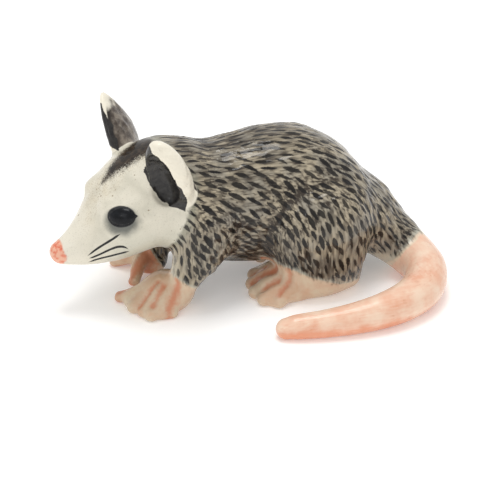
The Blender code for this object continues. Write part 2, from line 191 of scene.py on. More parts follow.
# The coat's places on the left side: middle, radii, then the painted strokes' slope in degrees,
# length, width and the gap beside them
COAT_PLACES = (
    ((-13, -5, 16), (3.5, 6, 6), 38, 2.2, 0.44, 0.86),
    ((-4, 0, 22.5), (9, 7, 3.5), 10, 2.9, 0.38, 0.80),
    ((8, 0, 22.5), (9, 7, 4), 24, 2.6, 0.48, 0.88),
    ((-3, -8, 14), (7, 5, 5), 34, 2.6, 0.66, 0.98),
    ((-2, -7, 6), (6, 6, 3.5), 36, 2.8, 0.38, 0.74),
    ((8, -7.5, 17), (6, 5, 4), 52, 2.5, 0.64, 0.94),
    ((16, -3, 14), (5, 9, 6), 66, 2.3, 0.60, 0.92),
    ((8.6, -11, 9), (6.5, 5, 5.5), 74, 2.3, 0.62, 0.90),
    ((9.5, -11.5, 3.6), (6, 4, 2.2), 60, 1.6, 0.50, 0.76),
    ((-9.5, -9, 11), (3.5, 4, 4), 66, 2.1, 0.66, 0.98),
    ((-10.5, -9, 6), (3.5, 3.5, 3), 76, 1.8, 0.60, 0.92),
    ((-12, -8, 3.6), (2.6, 2.6, 1.5), 75, 1.1, 0.38, 0.68),
    ((20, -5, 7), (3, 4.5, 4), 60, 1.4, 0.44, 0.74),
)

# The share of a stroke's length that keeps the next one off, how much it thins to one end, and
# how far strokes stay from the edge of the fur and from an ear
STROKE_SPACING = 0.82
STROKE_TAPER = 0.3
MOST_STROKES = 20000
FUR_CLEAR = 0.35
EAR_CLEAR = 0.3

# How the strokes vary: the spread of their turn and bend, and their shares of the length, width
# and darkness
TURN_SPREAD = 0.13
BEND_SPREAD = 0.07
LENGTH_SHARES = (0.75, 1.25)
WIDTH_SHARES = (0.7, 1.3)
INK_SHARES = (0.87, 1.0)

# Where the coat's ground is darker, partly as painted shade, or below zero paler: middle, radii and
# amount
SHADES = (
    ((-3, 0, 22), (12, 6, 2.5), 0.5),
    # painted shade under the belly
    ((-1, -6, 5.5), (7, 7, 3.8), 1.2),
    # painted shade low on the haunch, near the floor
    ((9, -11, 4), (7, 5, 2.5), 0.3),
    ((8, -11, 9), (5, 4, 4), -0.2),
    ((19.5, -5, 6.5), (2.5, 3.5, 2.5), 0.6),
    ((-13.6, -6.5, 6), (2.1, 3.2, 4), -0.8),
    ((-12, -8, 13.5), (2.2, 3, 3), -0.45),
    ((18.5, -7, 2.6), (3.5, 3, 1.8), -1.1),
)

# The dark creases between the haunch or a foreleg and the trunk, painted shade where the forms meet:
# width and amount
HAUNCH_CREASE = (0.45, 0.9)
FORELEG_CREASE = (0.5, 0.36)

# How often random numbers are smeared over the skin, and how sharply along its flow: first for
# the coat's fine streaks, then for its long waves, which are blurred evenly before
STREAK_SMEAR = (10, 8.0)
WAVE_BLUR = (6, 0.0)
WAVE_SMEAR = (30, 8.0)

# What a field says far outside its region
FAR_OUTSIDE = -3.0

# The edge between the face and the fur: height above the nose, and distance behind it
FACE_EDGE = ((-7, 8), (-3.5, 12.5), (1.9, 15.6), (6.5, 17.6), (10.5, 17.3), (13.6, 14.8), (17, 14))

# Where the fur ends on each leg: the distance along the body, and the height
FORELEG_EDGE = ((-17.0, 7.5), (-12.6, 5.4), (-10.8, 3.9), (-8.0, 1.8))
HINDLEG_EDGE = ((-2.0, 6.2), (2.8, 5.6), (6.3, 4.2), (10.5, 2.4), (13.0, 2.0), (17.0, 1.6))
RIGHT_FORELEG_EDGE = ((-17.0, 6.5), (-14.4, 5.0), (-12.8, 2.0), (-11.6, 0.5), (-8.0, 0.5))

# How far the tail's bare skin starts from the coat, how near a leg its bare skin stays, how far
# from the middle a hind leg's starts, and where the skin of each leg ends along the body
TAIL_EDGE = 1.9
LEG_REACH = 1.2
HINDLEG_START = 4.0
FORELEG_END = -6.9
HINDLEG_END = 16.0
LEGS_PART_AT = -7.0

# The orange strokes on the forefeet, seen from above: start, end and half width
FORETOE_STROKES = (
    ((-13.4, 3.6), (-17.4, 1.2), 0.75),
    ((-14, 5.6), (-18.4, 7.4), 0.60),
    ((-13.6, 6.4), (-15.4, 9.9), 0.35),
    ((-12.8, -2.9), (-15.2, -1), 0.35),
    ((-17.8, -3), (-20.2, -2.8), 0.60),
    ((-15.6, -6.6), (-18.4, -7.6), 0.22),
    ((-15, -7.6), (-16.9, -9), 0.35),
    ((-13.2, -8.6), (-14.8, -9.9), 0.35),
)

# The same strokes on the left hind foot
HINDTOE_STROKES = (
    ((0.6, -4.8), (-1, -3.7), 0.40),
    ((2, -7.4), (-1.3, -6), 0.50),
    ((1.2, -9.2), (-0.6, -8.9), 0.35),
    ((2.6, -10.3), (1, -10.9), 0.25),
)

# The depth of the groove under each of them, and the height of the coat's long waves
TOE_GROOVE = 0.3
COAT_WAVE = 0.05

# The forehead's stripe: distance behind the nose, half width and sideways shift, and the height
# above the nose that it stays over
STRIPE = (
    (6.3, -0.7, 0),
    (7.1, 0.25, 0),
    (9.1, 1.45, 0.2),
    (11, 2.1, 0.45),
    (12.8, 2.4, 0.7),
    (15.5, 3.6, 0.7),
)
STRIPE_LOW = 6.0

# An ear's black lining: the share of the way up it, and the back and front limits across it
LINING = (
    (-1.0, -0.2, -0.2),
    (-0.85, -0.9, 0.75),
    (-0.79, -1.1, 1.8),
    (-0.74, -1.2, 2.6),
    (-0.63, -1.3, 3.2),
    (-0.29, -1.15, 3.8),
    (-0.1, -0.9, 4.3),
    (0.19, -0.3, 4.2),
    (0.45, 0.4, 3.6),
    (0.68, 1.0, 2.8),
    (0.84, 1.3, 2.0),
    (1.0, 1.4, 1.5),
)
LINING_LEAN = 0.8

# How far from an ear's long axis its points are at most
EAR_SPREAD = 5.5

# How far out of each ear's cup its lining ends and its brown back starts, how much further the
# lining goes low on the ear, and by which share of the ear it is moved down
LEFT_EAR_EDGES = (-1.3, -1.2, 0.0, 0.0)
RIGHT_EAR_EDGES = (-0.1, -0.4, 0.6, 0.14)

# The whisker lines, in the head's frame: the x where each starts and ends, its height there,
# and how it rises and bends
WHISKERS = (
    (3.1, 7.4, -0.03, (1.25, -0.045, 0.0)),
    (3.3, 8.4, -0.3, (0.27, 0.38, -0.0724)),
    (3.3, 8.6, -1.18, (0.75, -0.052, 0.0)),
)

# The paints, as they look on a screen: red, green and blue. Clouds mix the paints of a pair.
FACE_CREAMS = ((226, 220, 203), (208, 203, 186))
MUZZLE_CREAM = (230, 224, 208)
# painted shade low on the cheek and jaw
JAW_SHADE_CREAM = (192, 190, 174)
FACE_SPECK = (168, 162, 143)
FACE_DOT = (128, 104, 72)
BROW_OCHRE = (206, 192, 162)
BROW_STIPPLE = (150, 126, 92)
STRIPE_BROWNS = ((26, 19, 12), (66, 53, 40))
HALO_GREY = (78, 83, 80)
RIM_BLACK = (26, 27, 30)
WHISKER_BLACK = (30, 30, 30)
NOSE_PINKS = ((238, 180, 152), (220, 104, 72))
COAT_BEIGES = ((180, 168, 145), (160, 153, 138))
COAT_BROWN = (62, 54, 46)
COAT_BORDER = (162, 161, 143)
COAT_PALE = (214, 206, 187)
STROKE_BLACK = (16, 13, 11)
TAIL_PEACHES = ((244, 216, 192), (234, 178, 148))
TAIL_ORANGE = (222, 132, 90)
TAIL_CREAM = (228, 216, 192)
FOOT_PEACHES = ((216, 200, 174), (208, 172, 143))
TOE_ORANGE = (202, 108, 68)
EAR_CREAM = (241, 234, 216)
EAR_BROWNS = ((74, 64, 57), (140, 130, 118))
EAR_DARK = (46, 40, 35)
LINING_BLACKS = ((34, 32, 32), (58, 56, 54))
LENS_BLACKS = ((14, 15, 18), (30, 32, 36))
FLOOR_WHITES = ((246, 245, 243), (250, 249, 248))

# How each material shines
SKIN_SHINE = {
    "Specular IOR Level": 0.08,
    "Coat Weight": 0.55,
    "Coat Roughness": 0.07,
    "Coat IOR": 1.5,
}
EYE_SHINE = {
    "Roughness": 0.25,
    "Specular IOR Level": 0.12,
    "Coat Weight": 0.15,
    "Coat Roughness": 0.03,
}
# The floor glows faintly, a painted light that lightens the shadows on it and the figure's underside
FLOOR_SHINE_AND_GLOW = {
    "Roughness": 0.6,
    "Emission Color": (1.0, 1.0, 1.0, 1.0),
    "Emission Strength": 0.2,
}

# The photograph's camera, in millimetres and degrees: it looks at a place in the sculpture
CAMERA_TURN = -17.0
CAMERA_RISE = 29.0
CAMERA_AWAY = 330.0
CAMERA_TARGET = Vector((0.0, 0.0, 3.5))
CAMERA_LENS = 165.0
CAMERA_CLIP = (0.01, 10.0)

# The studio, in metres: the floor, the room's light, and each lamp's place, width and power
FLOOR_HALF = 2.0
ROOM_LIGHT = 0.7
LAMPS = {
    "overhead_softbox": ((0.0, 0.05, 0.42), 0.2, 0.75),
    "front_softbox": ((-0.28, -0.30, 0.22), 0.22, 0.12),
    "small_sparkle": ((-0.31, -0.25, 0.18), 0.02, 0.02),
}


def add_object(name, data):
    thing = bpy.data.objects.new(name, data)
    bpy.context.scene.collection.objects.link(thing)
    return thing


def smooth_rows(stations, steps=5):
    """The stations, with more rows between each two, on a Catmull-Rom curve."""
    rows = np.array(stations, float)
    ends = np.vstack((2 * rows[0] - rows[1], rows, 2 * rows[-1] - rows[-2]))
    found = []
    for before, start, end, after in zip(ends, ends[1:], ends[2:], ends[3:]):
        for step in range(steps):
            t = step / steps
            bend = (2 * before - 5 * start + 4 * end - after) * t**2
            twist = (3 * start - before - 3 * end + after) * t**3
            found.append(start + 0.5 * ((end - before) * t + bend + twist))
    found.append(rows[-1])
    return found


def loft(stations, fullness, pear, segments=64):
    """A closed mesh through upright sections."""
    mesh = bmesh.new()
    rings = []
    for x, shift, low, high, half in smooth_rows(stations, 8):
        ring = []
        for number in range(segments):
            angle = 2 * math.pi * number / segments
            across = math.copysign(abs(math.cos(angle)) ** (2 / fullness), math.cos(angle))
            up = math.copysign(abs(math.sin(angle)) ** (2 / fullness), math.sin(angle))
            y = shift + half * across * (1 - pear * up)
            z = (high + low + (high - low) * up) / 2
            ring.append(mesh.verts.new((x, y, z)))
        rings.append(ring)
    for ring, following in zip(rings, rings[1:]):
        for number in range(segments):
            after = (number + 1) % segments
            mesh.faces.new((ring[number], ring[after], following[after], following[number]))
    mesh.faces.new(rings[0])
    mesh.faces.new(rings[-1])
    bmesh.ops.recalc_face_normals(mesh, faces=mesh.faces)
    return mesh


def egg(centre, radii, taper=0.0):
    """A sphere scaled to three radii, and thinned towards its top by the taper."""
    mesh = bmesh.new()
    bmesh.ops.create_uvsphere(mesh, u_segments=48, v_segments=32, radius=1.0)
    for vert in mesh.verts:
        thin = 1 - taper * vert.co.z
        vert.co.x *= radii[0] * thin
        vert.co.y *= radii[1] * thin
        vert.co.z *= radii[2]
    mesh.transform(Matrix.Translation(centre))
    return mesh


def tube(route):
    """A round tube along a smooth route of x, y, z and radius rows, with round ends."""
    rows = smooth_rows(route)
    curve = bpy.data.curves.new("route", "CURVE")
    curve.dimensions = "3D"
    curve.bevel_depth = 1.0
    curve.bevel_resolution = 10
    curve.use_fill_caps = True
    spline = curve.splines.new("POLY")
    spline.points.add(len(rows) - 1)
    for point, row in zip(spline.points, rows):
        point.co = (*row[:3], 1.0)
        point.radius = row[3]
    guide = add_object("route", curve)
    graph = bpy.context.evaluated_depsgraph_get()
    mesh = bmesh.new()
    mesh.from_mesh(guide.evaluated_get(graph).to_mesh())
    bpy.data.objects.remove(guide)
    bpy.data.curves.remove(curve)
    bmesh.ops.remove_doubles(mesh, verts=mesh.verts, dist=0.001)
    for row in (rows[0], rows[-1]):
        end = Matrix.Translation(row[:3])
        bmesh.ops.create_uvsphere(mesh, u_segments=32, v_segments=20, radius=row[3], matrix=end)
    bmesh.ops.recalc_face_normals(mesh, faces=mesh.faces)
    return mesh


def mirrored(mesh, back):
    """The mesh's mirror image on the animal's right side, moved back along the body."""
    copy = mesh.copy()
    flip = Matrix.Diagonal((1, -1, 1, 1))
    copy.transform(Matrix.Translation((back, 2 * MIRROR_AT, 0)) @ flip)
    bmesh.ops.reverse_faces(copy, faces=copy.faces)
    return copy


def head_place():
    """The head's frame, in the sculpture's."""
    return Matrix.Translation(NOSE) @ Matrix.Rotation(math.radians(HEAD_TURN), 4, "Z")


def on_head(mesh):
    """Moves the mesh from the head's frame to the sculpture's."""
    mesh.transform(head_place())
    return mesh


def soft_minimum(first, second, fillet):
    """The nearer of two distances, rounded over where they differ by less than the fillet."""
    if fillet == 0:
        return np.minimum(first, second)
    share = np.maximum(fillet - np.abs(first - second), 0) / fillet
    return np.minimum(first, second) - share * share * fillet / 4


class Clay:
    """The distance of each cell of a grid to the surface, less than zero inside.

    It also keeps the distances to the forms of each region by themselves, to tell them apart.
    """

    def __init__(self):
        self.start = np.floor(np.array(CLAY_LOW) / CELL).astype(int)
        self.shape = np.ceil(np.array(CLAY_HIGH) / CELL).astype(int) - self.start
        self.cells = np.full(self.shape, REACH, np.float32)
        self.regions = {}

    def layer(self, mesh, region):
        """The slices of the grid near the mesh, and its distances there, which the region keeps."""
        bmesh.ops.triangulate(mesh, faces=mesh.faces)
        mesh.verts.index_update()
        points = np.array([vert.co for vert in mesh.verts], np.float32)
        corners = [[vert.index for vert in face.verts] for face in mesh.faces]
        grid = openvdb.FloatGrid.createLevelSetFromPolygons(
            points,
            triangles=np.array(corners, np.uint32),
            transform=openvdb.createLinearTransform(voxelSize=CELL),
            halfWidth=REACH / CELL,
        )
        margin = math.ceil(REACH / CELL)
        low = np.floor(points.min(axis=0) / CELL).astype(int) - margin
        high = np.ceil(points.max(axis=0) / CELL).astype(int) + margin
        low = np.maximum(low, self.start)
        high = np.minimum(high, self.start + self.shape)
        near = np.empty(high - low, np.float32)
        grid.copyToArray(near, ijk=low.tolist())
        window = tuple(slice(a, b) for a, b in zip(low - self.start, high - self.start))
        cells = self.regions.setdefault(region, np.full(self.shape, REACH, np.float32))
        cells[window] = np.minimum(cells[window], near)
        return window, near

    def fuse(self, mesh, region, fillet=0.0):
        window, near = self.layer(mesh, region)
        self.cells[window] = soft_minimum(self.cells[window], near, fillet)

    def carve(self, mesh, region, fillet):
        window, near = self.layer(mesh, region)
        self.cells[window] = -soft_minimum(-self.cells[window], near, fillet)

    def stand_flat(self):
        """Cuts off what is below the floor."""
        heights = (np.arange(self.shape[2]) + self.start[2]) * CELL
        self.cells = np.maximum(self.cells, -heights.astype(np.float32))

    def surface(self):
        """The points and the four-sided faces of the surface."""
        grid = openvdb.FloatGrid(REACH)
        grid.copyFromArray(self.cells)
        points, _, faces = grid.convertToPolygons(0.0, 0.0)
        return (points + self.start) * CELL, faces

    def region_at(self, region, points):
        """The distances to a region's forms at the points, from the eight cells round each."""
        places = points / CELL - self.start
        low = np.floor(places).astype(int)
        part = places - low
        found = np.zeros(len(points))
        for corner in itertools.product((0, 1), repeat=3):
            share = np.where(corner, part, 1 - part).prod(axis=1)
            found += share * self.regions[region][tuple((low + corner).T)]
        return found


def fuse_pair(clay, mesh, region, fillet, back=0.0):
    """Fuses a form of the left side, and its mirror image, which is moved back."""
    clay.fuse(mirrored(mesh, back), region, fillet)
    clay.fuse(mesh, region, fillet)


def toe(root, tip, joints):
    route = []
    for share, height, radius in joints:
        x, y = Vector(root).lerp(Vector(tip), share)
        route.append((x, y, height, radius))
    return tube(route)


def between(tips):
    """The points halfway between each two neighbouring tips."""
    return [tuple(Vector(tip).lerp(Vector(after), 0.5)) for tip, after in zip(tips, tips[1:])]


def sculpt_forepaw(clay, palm, root, tips, webs):
    clay.fuse(egg(*palm), "forefoot", FOREPAW_FILLET)
    for ends, joints in ((tips, FORETOE), (webs, FOREWEB)):
        for end in ends:
            clay.fuse(toe(root, end, joints), "forefoot", FORETOE_FILLET)


def sculpt_forelegs(clay):
    fuse_pair(clay, egg(*SHOULDER), "foreleg", SHOULDER_FILLET)
    fuse_pair(clay, tube(FORELEG), "foreleg", FORELEG_FILLET, RIGHT_FORELEG_BACK)
    for paw in (LEFT_FOREPAW, RIGHT_FOREPAW):
        sculpt_forepaw(clay, *paw)


def sculpt_hindlegs(clay):
    fuse_pair(clay, egg(*HAUNCH), "haunch", HAUNCH_FILLET)
    fuse_pair(clay, egg(*SHANK), "haunch", SHANK_FILLET, RIGHT_SHANK_BACK)
    fuse_pair(clay, tube(HINDFOOT), "hindfoot", HINDFOOT_FILLET, RIGHT_HINDPAW_BACK)
    fuse_pair(clay, egg(*HINDPAW), "hindfoot", HINDPAW_FILLET, RIGHT_HINDPAW_BACK)
    for tips, joints in ((HINDTOE_TIPS, HINDTOE), (between(HINDTOE_TIPS), HINDWEB)):
        for tip in tips:
            root = (HINDTOE_ROOT[0], (HINDTOE_ROOT[1] + tip[1]) / 2)
            mesh = toe(root, tip, joints)
            fuse_pair(clay, mesh, "hindfoot", HINDTOE_FILLET, RIGHT_HINDPAW_BACK)


def ear_place(ear):
    """The ear's frame, with X out of the cup and Z to the tip, and its half length."""
    base, tip, opening = (Vector(corner) for corner in ear[:3])
    up = (tip - base).normalized()
    out = (opening - up * opening.dot(up)).normalized()
    turn = Matrix((out, up.cross(out), up)).transposed().to_4x4()
    return Matrix.Translation((base + tip) / 2) @ turn, (tip - base).length / 2


def sculpt_ear(clay, ear):
    place, length = ear_place(ear)
    depth, breadth, taper = ear[3:]
    shell = egg((0, 0, 0), (depth, breadth, length), taper)
    hollow = (CUP_DEPTH * depth, breadth - EAR_WALL, length - 1.5 * EAR_WALL)
    to_cheek = math.copysign(CUP_TO_CHEEK, ear[0][1])
    cup = egg((CUP_OUT * depth, to_cheek, CUP_UP), hollow, taper)
    for mesh in (shell, cup):
        mesh.transform(place)
    clay.fuse(on_head(shell), "ear", EAR_FILLET)
    clay.carve(on_head(cup), "cup", EAR_RIM_FILLET)


def sculpt():
    clay = Clay()
    clay.fuse(loft(TRUNK, TRUNK_FULLNESS, TRUNK_PEAR), "trunk")
    clay.fuse(tube(TAIL), "tail", TAIL_FILLET)
    sculpt_forelegs(clay)
    sculpt_hindlegs(clay)
    clay.fuse(on_head(loft(HEAD, HEAD_FULLNESS, HEAD_PEAR)), "head", HEAD_FILLET)
    (x, y, z), radii = BROW
    for side in (1, -1):
        clay.fuse(on_head(egg((x, side * y, z), radii)), "head", BROW_FILLET)
    for ear in (LEFT_EAR, RIGHT_EAR):
        sculpt_ear(clay, ear)
    clay.stand_flat()
    return clay


def soft_step(values, start, end):
    """Zero before the start, one past the end, and a soft rise between them."""
    share = np.clip((values - start) / (end - start), 0, 1)
    return share * share * (3 - 2 * share)


def numbers_of(items, name, kind, width):
    """The values under a name of all of a mesh's items, as one row for each."""
    found = np.empty(len(items) * width, kind)
    items.foreach_get(name, found)
    return found.reshape(-1, width)


def left_side(points):
    """The points, with those of the right side moved to their mirror image."""
    found = points.copy()
    found[:, 1] = MIRROR_AT - np.abs(points[:, 1] - MIRROR_AT)
    return found


def nearness(points, places):
    """A column for each place, of how near the points are to its middle, measured in its radii."""
    columns = []
    for middle, radii, *_ in places:
        apart = (left_side(points) - middle) / radii
        columns.append(np.exp(-(apart * apart).sum(axis=1)))
    return np.array(columns).T


def coat_strokes_at(points):
    """The strokes' slope, length, width and gap at each point, from the places near it."""
    shares = nearness(points, COAT_PLACES) + 1e-9
    shares /= shares.sum(axis=1, keepdims=True)
    return (shares @ np.array([place[2:] for place in COAT_PLACES], float)).T


def search_tree(points):
    """A tree that finds the points near a place."""
    tree = KDTree(len(points))
    for number, point in enumerate(points):
        tree.insert(point, number)
    tree.balance()
    return tree


def tail_ways(points):
    """The way the tail runs at each point."""
    rows = np.array(smooth_rows(TAIL))[:, :3]
    tree = search_tree(rows)
    nearest = [tree.find(point)[1] for point in points]
    return np.gradient(rows, axis=0)[nearest]


def in_frame(points, place):
    """The points, in the frame that the matrix places."""
    inverse = np.array(place.inverted())
    return points @ inverse[:3, :3].T + inverse[:3, 3]


def regions_at(clay, points):
    """How far each point is from each region, and the edges between them, in millimetres."""
    at = {name: clay.region_at(name, points) for name in clay.regions}
    head = in_frame(points, head_place())
    coat = np.minimum(np.minimum(at["trunk"], at["foreleg"]), at["haunch"])
    edge = np.interp(head[:, 2], *zip(*FACE_EDGE))
    off_head = np.maximum(at["head"] - 0.3, 0)
    at["face"] = np.maximum(edge - head[:, 0] - 1.5 * off_head, FAR_OUTSIDE)
    at["tail_edge"] = np.where(at["tail"] < 1, coat - at["tail"], 0) - TAIL_EDGE
    at["foot_edge"] = foot_edge_at(points, at)
    at["bare"] = np.maximum(at["tail_edge"], at["foot_edge"])
    at["fur"] = -np.maximum(at["bare"], at["face"])
    return at


def foot_edge_at(points, at):
    """How far below the fur's edge on its leg each point is, or less than zero off the legs."""
    x, y, z = left_side(points).T
    right = points[:, 1] > MIRROR_AT
    fore = np.interp(x, *zip(*FORELEG_EDGE))
    fore = np.where(right, np.interp(x, *zip(*RIGHT_FORELEG_EDGE)), fore) - z
    fore = np.minimum(fore, LEG_REACH - np.minimum(at["forefoot"], at["foreleg"]))
    hind = np.interp(x - right * RIGHT_SHANK_BACK, *zip(*HINDLEG_EDGE)) - z
    hind = np.minimum(hind, LEG_REACH - np.minimum(at["hindfoot"], at["haunch"]))
    hind = np.minimum(hind, np.maximum(-y - HINDLEG_START, at["trunk"] - at["hindfoot"]))
    fore = np.minimum(fore, FORELEG_END - x)
    hind = np.minimum(hind, HINDLEG_END - x)
    return np.where(x < LEGS_PART_AT, fore, hind)


def flow_at(points, normals, regions):
    """The way the painted strokes run over the surface at each point."""
    slope = np.radians(coat_strokes_at(points)[0])
    flow = np.array((np.cos(slope), np.zeros(len(points)), -np.sin(slope))).T
    on_tail = regions["tail_edge"] > 0
    flow[on_tail] = tail_ways(points[on_tail])
    for foot, root in (("forefoot", LEFT_FOREPAW[1]), ("hindfoot", HINDTOE_ROOT)):
        on_foot = (regions["foot_edge"] > 0) & (regions[foot] < 0.5)
        flow[on_foot] = left_side(points[on_foot]) - (*root, 0.0)
        flow[on_foot, 1] *= np.where(points[on_foot, 1] > MIRROR_AT, -1, 1)
    flow -= normals * (flow * normals).sum(axis=1, keepdims=True)
    return flow / np.maximum(np.linalg.norm(flow, axis=1, keepdims=True), 1e-6)


def stroke_centres(points, flow, normals, allowed, random):
    """The points that painted strokes are centred on, no two too near, seen along their flow."""
    _, length, _, gap = coat_strokes_at(points)
    reach = np.array((length * STROKE_SPACING, gap, gap)).T
    side = np.cross(normals, flow)
    kept = []
    taken = np.empty((MOST_STROKES, 3))
    for index in random.permutation(np.flatnonzero(allowed)):
        apart = taken[: len(kept)] - points[index]
        ways = np.array((flow[index], side[index], normals[index]))
        shares = (apart @ ways.T) / reach[index]
        if (np.einsum("ij,ij->i", shares, shares) > 1).all():
            taken[len(kept)] = points[index]
            kept.append(index)
    return np.array(kept)


def lay_strokes(points, strokes, reach=0.7):
    """The distance from each point to the nearest stroke's edge, and how dark that stroke is.

    A stroke is a leaf shape: its middle, way, side, length, width, bend and darkness.
    """
    tree = search_tree(points)
    nearest = np.full(len(points), reach)
    ink = np.zeros(len(points))
    for middle, way, side, length, width, bend, dark in strokes:
        near = np.array([found[1] for found in tree.find_range(middle, length / 2 + reach)])
        apart = points[near] - middle
        along = apart @ way / (length / 2)
        across = apart @ side + bend * along**2
        half = width / 2 * (1 - STROKE_TAPER * along)
        inside = np.abs(across) - half * (1 - np.clip(along, -1, 1) ** 2)
        past = np.maximum(np.abs(along) - 1, 0) * length / 2
        high = np.maximum(np.linalg.norm(apart, axis=1) - length / 2 - reach, 0)
        distance = np.hypot(np.maximum(inside, 0), past) + np.minimum(inside, 0) + high
        better = distance < nearest[near]
        nearest[near[better]] = distance[better]
        ink[near[better]] = dark
    return nearest, ink


def coat_strokes(points, flow, normals, regions, random):
    """Strokes for the whole coat, each a little different."""
    allowed = (regions["fur"] > FUR_CLEAR) & (regions["ear"] > EAR_CLEAR)
    _, length, width, _ = coat_strokes_at(points)
    strokes = []
    for index in stroke_centres(points, flow, normals, allowed, random):
        side = np.cross(normals[index], flow[index])
        turn = random.normal(0, TURN_SPREAD)
        way = flow[index] * math.cos(turn) + side * math.sin(turn)
        side = np.cross(normals[index], way)
        long = length[index] * random.uniform(*LENGTH_SHARES)
        wide = width[index] * random.uniform(*WIDTH_SHARES)
        bend = random.normal(0, BEND_SPREAD)
        dark = random.uniform(*INK_SHARES)
        strokes.append((points[index], way, side, long, wide, bend, dark))
    return strokes


def smeared(values, points, edges, flow, steps, sharpness):
    """The values, smoothed over the mesh's edges along the flow, then scaled to a spread of one."""
    first, second = np.vstack((edges, edges[:, ::-1])).T
    way = points[second] - points[first]
    way /= np.maximum(np.linalg.norm(way, axis=1, keepdims=True), 1e-6)
    turn = 1 - (way * flow[first]).sum(axis=1) ** 2
    weight = np.exp(-sharpness * turn)
    total = 1 + np.bincount(first, weight, len(values))
    for _ in range(steps):
        values = (values + np.bincount(first, weight * values[second], len(values))) / total
    return (values - values.mean()) / values.std()


def distance_to_line(points, start, end):
    """The distance, seen from above, to a line."""
    way = np.array(end) - start
    share = np.clip(((points[:, :2] - start) @ way) / (way @ way), 0, 1)
    return np.linalg.norm(points[:, :2] - start - share[:, None] * way, axis=1)


def toe_strokes_at(points):
    """The distance to the edge of the nearest orange stroke on a foot."""
    moved = left_side(points)
    moved[:, 0] -= (points[:, 1] > MIRROR_AT) * RIGHT_HINDPAW_BACK
    found = np.full(len(points), 1.0)
    for places, strokes in ((points, FORETOE_STROKES), (moved, HINDTOE_STROKES)):
        for start, end, half in strokes:
            found = np.minimum(found, distance_to_line(places, start, end) - half)
    return found


def ear_fields(points, regions):
    """How deep in an ear's black lining each point is, and how far up and back on the ear."""
    lining, tip, back = np.full((3, len(points)), -1.0)
    head = in_frame(points, head_place())
    heights, backs, fronts = zip(*LINING)
    for ear, edges in ((LEFT_EAR, LEFT_EAR_EDGES), (RIGHT_EAR, RIGHT_EAR_EDGES)):
        lining_end, back_start, further, lowered = edges
        place, length = ear_place(ear)
        out, across, up = in_frame(head, place).T
        near = (np.abs(up) < length + 1) & (np.hypot(out, across) < EAR_SPREAD)
        near &= regions["ear"] < 1.5
        across = across * math.copysign(1, ear[0][1]) + LINING_LEAN * out
        up = up / length
        height = up + lowered
        depth = np.interp(height, heights, fronts) - across
        depth = np.minimum(depth, across - np.interp(height, heights, backs))
        depth = np.minimum(depth, out - lining_end + further * soft_step(up, 0.6, 0.2))
        lining = np.where(near, np.maximum(lining, depth), lining)
        tip = np.where(near, up, tip)
        back = np.where(near, back_start - out, back)
    return lining, tip, back


def stripe_at(points):
    """How far inside the forehead's stripe each point is."""
    x, y, z = in_frame(points, head_place()).T
    places, halves, shifts = zip(*STRIPE)
    inside = np.interp(x, places, halves) - np.abs(y - np.interp(x, places, shifts))
    return np.where(z > STRIPE_LOW, inside, FAR_OUTSIDE)


def seam(first, second, width):
    """One where the surfaces of two regions cross, and less away from there."""
    return np.exp(-(((first - second) / width) ** 2)) * soft_step(first, 1.5, 0.5)


def shade_at(points, regions):
    """How much darker the coat's ground is: painted shade under the belly and in creases, and darker
    paint along the back.
    """
    shade = nearness(points, SHADES) @ np.array([place[2] for place in SHADES])
    width, amount = HAUNCH_CREASE
    # painted shade in the creases round the haunch and the foreleg
    crease_shade = seam(regions["haunch"], regions["trunk"], width)
    shade += amount * crease_shade * (0.6 + soft_step(points[:, 0], 7.0, 4.0))
    width, amount = FORELEG_CREASE
    return shade + amount * seam(regions["foreleg"], regions["trunk"], width)


def relief_at(points, regions, wave, orange):
    """The height of the coat's waves and the toes' grooves, which end above the floor."""
    coat = COAT_WAVE * wave * soft_step(regions["fur"], 0.0, 1.0)
    grooves = soft_step(orange, 0.6, -0.3) * soft_step(regions["foot_edge"], 0.2, 1.0)
    return (coat - TOE_GROOVE * grooves) * soft_step(points[:, 2], 0.3, 1.0)


def in_scene(points):
    """The sculpture's points, in metres in the finished scene."""
    return (points - np.array(MIDDLE)) * MM


def raw_skin(clay):
    """The sculpture's surface as an object."""
    points, faces = clay.surface()
    mesh = bpy.data.meshes.new("glazed_skin")
    mesh.from_pydata(in_scene(points).tolist(), [], faces.tolist())
    mesh.shade_smooth()
    return add_object("glazed_skin", mesh)


def paint_fields(mesh, clay):
    """Stores what the glaze paints, as numbers for each point, and raises the relief."""
    random = np.random.default_rng(SEED)
    points = numbers_of(mesh.vertices, "co", float, 3) / MM + np.array(MIDDLE)
    normals = numbers_of(mesh.vertex_normals, "vector", float, 3)
    edges = numbers_of(mesh.edges, "vertices", np.int64, 2)
    regions = regions_at(clay, points)
    flow = flow_at(points, normals, regions)
    streak = smeared(random.normal(size=len(points)), points, edges, flow, *STREAK_SMEAR)
    wave = smeared(random.normal(size=len(points)), points, edges, flow, *WAVE_BLUR)
    wave = smeared(wave, points, edges, flow, *WAVE_SMEAR)
    strokes = coat_strokes(points, flow, normals, regions, random)
    stroke, ink = lay_strokes(points, strokes)
    lining, tip, back = ear_fields(points, regions)
    orange = toe_strokes_at(points)
    ear = np.minimum(regions["ear"], regions["cup"])
    fields = {
        "fur": regions["fur"],
        "face": regions["face"],
        "bare": regions["bare"],
        "on_tail": regions["tail_edge"],
        "shade": shade_at(points, regions),
        "stroke": stroke,
        "ink": ink,
        "streak": streak,
        "orange": orange,
        "stripe": stripe_at(points),
        "ear": ear,
        "ear_over_head": regions["head"] - ear,
        "ear_tip": tip,
        "ear_back": back,
        "lining": lining,
    }
    for name, values in fields.items():
        layer = mesh.attributes.new(name, "FLOAT", "POINT")
        layer.data.foreach_set("value", values.astype(np.float32))
    lifted = points + normals * relief_at(points, regions, wave, orange)[:, None]
    mesh.vertices.foreach_set("co", in_scene(lifted).ravel())
    mesh.update()


